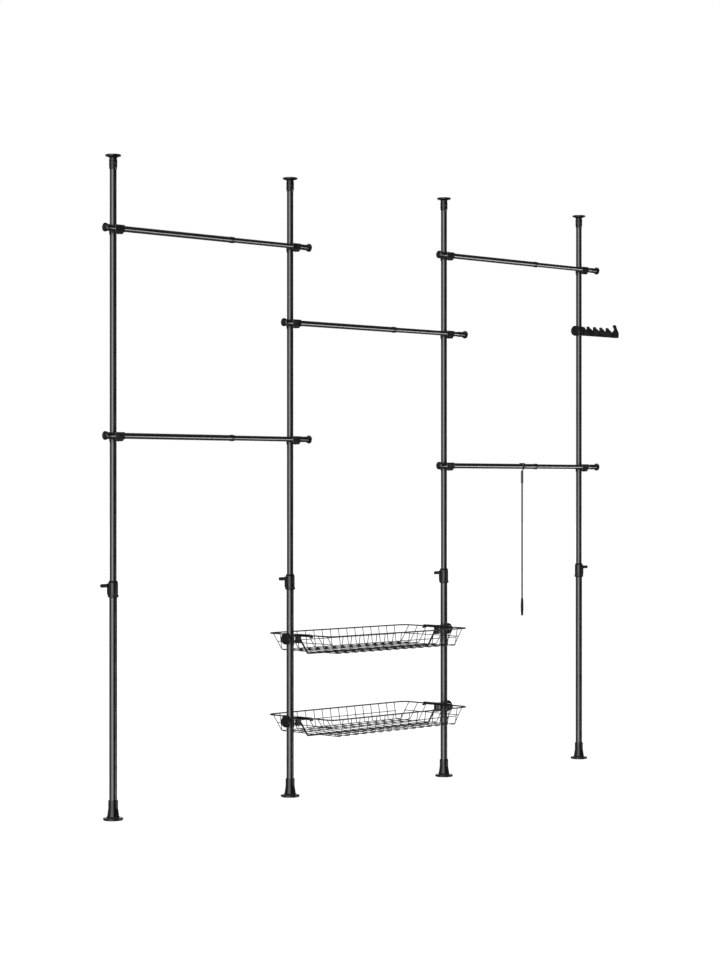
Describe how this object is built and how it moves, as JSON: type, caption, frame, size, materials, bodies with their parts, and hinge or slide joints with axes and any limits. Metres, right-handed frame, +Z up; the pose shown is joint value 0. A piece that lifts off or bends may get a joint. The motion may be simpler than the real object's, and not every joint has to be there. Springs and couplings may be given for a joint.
{
  "type": "clothes rack",
  "caption": "Floor-to-ceiling clothes rack: clamped telescopic poles joined by telescopic hanging rails, with wire baskets, a swivelling hook bar and a hanging reach pole.",
  "frame": {"origin": "centre of the underside of the first pole's foot, on the floor", "axes": "+Z up along the poles, +X along the row of poles from the first to the last, -Y towards the side on which the rails pass in front of the poles"},
  "size_m": [3.389, 0.412, 2.7],
  "materials": {
    "tube_coat": "semi-gloss black powder coat on steel tube",
    "basket_wire": "satin black coat on steel wire",
    "reach_steel": "satin black coat on steel rod",
    "moulded_plastic": "black moulded plastic with a fine grain",
    "grip_plastic": "black moulded plastic, satin on the grips",
    "pad_plastic": "black moulded plastic, matt"
  },
  "bodies": {
    "centre_lower": {"pole_2_lower_tube": "tube_coat", "pole_3_lower_tube": "tube_coat", "centre_feet": "pad_plastic", "centre_collars": "moulded_plastic"},
    "left_lower": {"pole_1_lower_tube": "tube_coat", "left_foot": "pad_plastic", "left_collar": "moulded_plastic"},
    "right_lower": {"pole_4_lower_tube": "tube_coat", "right_foot": "pad_plastic", "right_collar": "moulded_plastic"},
    "centre_upper": {"pole_2_upper_tube": "tube_coat", "pole_3_upper_tube": "tube_coat", "left_bay_inner_tubes": "tube_coat", "middle_rail_outer_tube": "tube_coat", "middle_rail_inner_tube": "tube_coat", "right_bay_outer_tubes": "tube_coat", "centre_rail_brackets": "moulded_plastic", "centre_rail_end_caps": "moulded_plastic", "centre_rail_joint_rings": "moulded_plastic"},
    "left_upper": {"pole_1_upper_tube": "tube_coat", "left_bay_outer_tubes": "tube_coat", "left_rail_brackets": "moulded_plastic", "left_rail_end_caps": "moulded_plastic", "left_rail_joint_rings": "moulded_plastic"},
    "right_upper": {"pole_4_upper_tube": "tube_coat", "right_bay_inner_tubes": "tube_coat", "right_rail_brackets": "moulded_plastic", "right_rail_end_caps": "moulded_plastic"},
    "hook_rack": {"hook_rack_clamp": "moulded_plastic", "hook_rack_bar": "moulded_plastic"},
    "hook_rack_knob": {"hook_rack_knob": "grip_plastic"},
    "reach_pole": {"reach_pole_fork": "reach_steel", "reach_pole_rod": "reach_steel", "reach_pole_grip": "grip_plastic"},
    "pole_1_clamp_screw": {"pole_1_clamp_screw": "grip_plastic"},
    "pole_1_jack_sleeve": {"pole_1_jack_sleeve": "moulded_plastic"},
    "pole_1_ceiling_cap": {"pole_1_ceiling_cap": "pad_plastic"},
    "pole_2_clamp_screw": {"pole_2_clamp_screw": "grip_plastic"},
    "pole_2_jack_sleeve": {"pole_2_jack_sleeve": "moulded_plastic"},
    "pole_2_ceiling_cap": {"pole_2_ceiling_cap": "pad_plastic"},
    "pole_3_clamp_screw": {"pole_3_clamp_screw": "grip_plastic"},
    "pole_3_jack_sleeve": {"pole_3_jack_sleeve": "moulded_plastic"},
    "pole_3_ceiling_cap": {"pole_3_ceiling_cap": "pad_plastic"},
    "pole_4_clamp_screw": {"pole_4_clamp_screw": "grip_plastic"},
    "pole_4_jack_sleeve": {"pole_4_jack_sleeve": "moulded_plastic"},
    "pole_4_ceiling_cap": {"pole_4_ceiling_cap": "pad_plastic"},
    "upper_basket": {"upper_basket_rim": "basket_wire", "upper_basket_cross_wires": "basket_wire", "upper_basket_long_wires": "basket_wire", "upper_basket_brackets": "moulded_plastic"},
    "upper_basket_left_knob": {"upper_basket_left_knob": "grip_plastic"},
    "upper_basket_right_knob": {"upper_basket_right_knob": "grip_plastic"},
    "lower_basket": {"lower_basket_rim": "basket_wire", "lower_basket_cross_wires": "basket_wire", "lower_basket_long_wires": "basket_wire", "lower_basket_brackets": "moulded_plastic"},
    "lower_basket_left_knob": {"lower_basket_left_knob": "grip_plastic"},
    "lower_basket_right_knob": {"lower_basket_right_knob": "grip_plastic"}
  },
  "joints": [
    {"name": "height_adjust", "type": "slide", "parent": "centre_lower", "child": "centre_upper", "axis": [0, 0, 1], "range_m": [-0.4, 0.2]},
    {"name": "left_bay_width", "type": "slide", "parent": "centre_upper", "child": "left_upper", "axis": [1, 0, 0], "range_m": [-0.12, 0.27]},
    {"name": "right_bay_width", "type": "slide", "parent": "centre_upper", "child": "right_upper", "axis": [1, 0, 0], "range_m": [-0.27, 0.12]},
    {"name": "left_pole_height", "type": "slide", "parent": "left_upper", "child": "left_lower", "axis": [0, 0, 1], "range_m": [-0.2, 0.4]},
    {"name": "right_pole_height", "type": "slide", "parent": "right_upper", "child": "right_lower", "axis": [0, 0, 1], "range_m": [-0.2, 0.4]},
    {"name": "pole_1_clamp_screw_turn", "type": "hinge", "parent": "left_lower", "child": "pole_1_clamp_screw", "pos_m": [0, 0, 0.952], "axis": [-1, 0, 0], "range_deg": [0, 450]},
    {"name": "pole_1_jack_sleeve_turn", "type": "hinge", "parent": "left_upper", "child": "pole_1_jack_sleeve", "pos_m": [0, 0, 2.66], "axis": [0, 0, 1], "range_deg": [0, 3600]},
    {"name": "pole_1_ceiling_cap_lift", "type": "slide", "parent": "left_upper", "child": "pole_1_ceiling_cap", "axis": [0, 0, 1], "range_m": [0, 0.03]},
    {"name": "pole_2_clamp_screw_turn", "type": "hinge", "parent": "centre_lower", "child": "pole_2_clamp_screw", "pos_m": [1, 0, 0.952], "axis": [-1, 0, 0], "range_deg": [0, 450]},
    {"name": "pole_2_jack_sleeve_turn", "type": "hinge", "parent": "centre_upper", "child": "pole_2_jack_sleeve", "pos_m": [1, 0, 2.66], "axis": [0, 0, 1], "range_deg": [0, 3600]},
    {"name": "pole_2_ceiling_cap_lift", "type": "slide", "parent": "centre_upper", "child": "pole_2_ceiling_cap", "axis": [0, 0, 1], "range_m": [0, 0.03]},
    {"name": "pole_3_clamp_screw_turn", "type": "hinge", "parent": "centre_lower", "child": "pole_3_clamp_screw", "pos_m": [2, 0, 0.952], "axis": [-1, 0, 0], "range_deg": [0, 450]},
    {"name": "pole_3_jack_sleeve_turn", "type": "hinge", "parent": "centre_upper", "child": "pole_3_jack_sleeve", "pos_m": [2, 0, 2.66], "axis": [0, 0, 1], "range_deg": [0, 3600]},
    {"name": "pole_3_ceiling_cap_lift", "type": "slide", "parent": "centre_upper", "child": "pole_3_ceiling_cap", "axis": [0, 0, 1], "range_m": [0, 0.03]},
    {"name": "pole_4_clamp_screw_turn", "type": "hinge", "parent": "right_lower", "child": "pole_4_clamp_screw", "pos_m": [3, 0, 0.952], "axis": [1, 0, 0], "range_deg": [0, 450]},
    {"name": "pole_4_jack_sleeve_turn", "type": "hinge", "parent": "right_upper", "child": "pole_4_jack_sleeve", "pos_m": [3, 0, 2.66], "axis": [0, 0, 1], "range_deg": [0, 3600]},
    {"name": "pole_4_ceiling_cap_lift", "type": "slide", "parent": "right_upper", "child": "pole_4_ceiling_cap", "axis": [0, 0, 1], "range_m": [0, 0.03]},
    {"name": "upper_basket_height", "type": "slide", "parent": "centre_lower", "child": "upper_basket", "axis": [0, 0, 1], "range_m": [-0.1, 0.18]},
    {"name": "upper_basket_left_knob_turn", "type": "hinge", "parent": "upper_basket", "child": "upper_basket_left_knob", "pos_m": [1, 0, 0.69], "axis": [-1, 0, 0], "range_deg": [0, 450]},
    {"name": "upper_basket_right_knob_turn", "type": "hinge", "parent": "upper_basket", "child": "upper_basket_right_knob", "pos_m": [2, 0, 0.69], "axis": [1, 0, 0], "range_deg": [0, 450]},
    {"name": "lower_basket_height", "type": "slide", "parent": "centre_lower", "child": "lower_basket", "axis": [0, 0, 1], "range_m": [-0.2, 0.1]},
    {"name": "lower_basket_left_knob_turn", "type": "hinge", "parent": "lower_basket", "child": "lower_basket_left_knob", "pos_m": [1, 0, 0.329], "axis": [-1, 0, 0], "range_deg": [0, 450]},
    {"name": "lower_basket_right_knob_turn", "type": "hinge", "parent": "lower_basket", "child": "lower_basket_right_knob", "pos_m": [2, 0, 0.329], "axis": [1, 0, 0], "range_deg": [0, 450]},
    {"name": "hook_rack_swivel", "type": "hinge", "parent": "right_upper", "child": "hook_rack", "pos_m": [3, 0, 2.126], "axis": [0, 0, 1], "continuous": true},
    {"name": "hook_rack_knob_turn", "type": "hinge", "parent": "hook_rack", "child": "hook_rack_knob", "pos_m": [3, 0, 2.126], "axis": [-1, 0, 0], "range_deg": [0, 450]},
    {"name": "reach_pole_swing", "type": "hinge", "parent": "centre_upper", "child": "reach_pole", "pos_m": [2.526, -0.032, 1.45], "axis": [1, 0, 0], "range_deg": [-60, 60]}
  ],
  "couplings": [
    {"joint": "left_pole_height", "follows": "height_adjust", "ratio": -1},
    {"joint": "right_pole_height", "follows": "height_adjust", "ratio": -1},
    {"joint": "pole_1_jack_sleeve_turn", "follows": "pole_1_ceiling_cap_lift", "rad_per_m": 2094.4},
    {"joint": "pole_2_jack_sleeve_turn", "follows": "pole_2_ceiling_cap_lift", "rad_per_m": 2094.4},
    {"joint": "pole_3_jack_sleeve_turn", "follows": "pole_3_ceiling_cap_lift", "rad_per_m": 2094.4},
    {"joint": "pole_4_jack_sleeve_turn", "follows": "pole_4_ceiling_cap_lift", "rad_per_m": 2094.4}
  ]
}
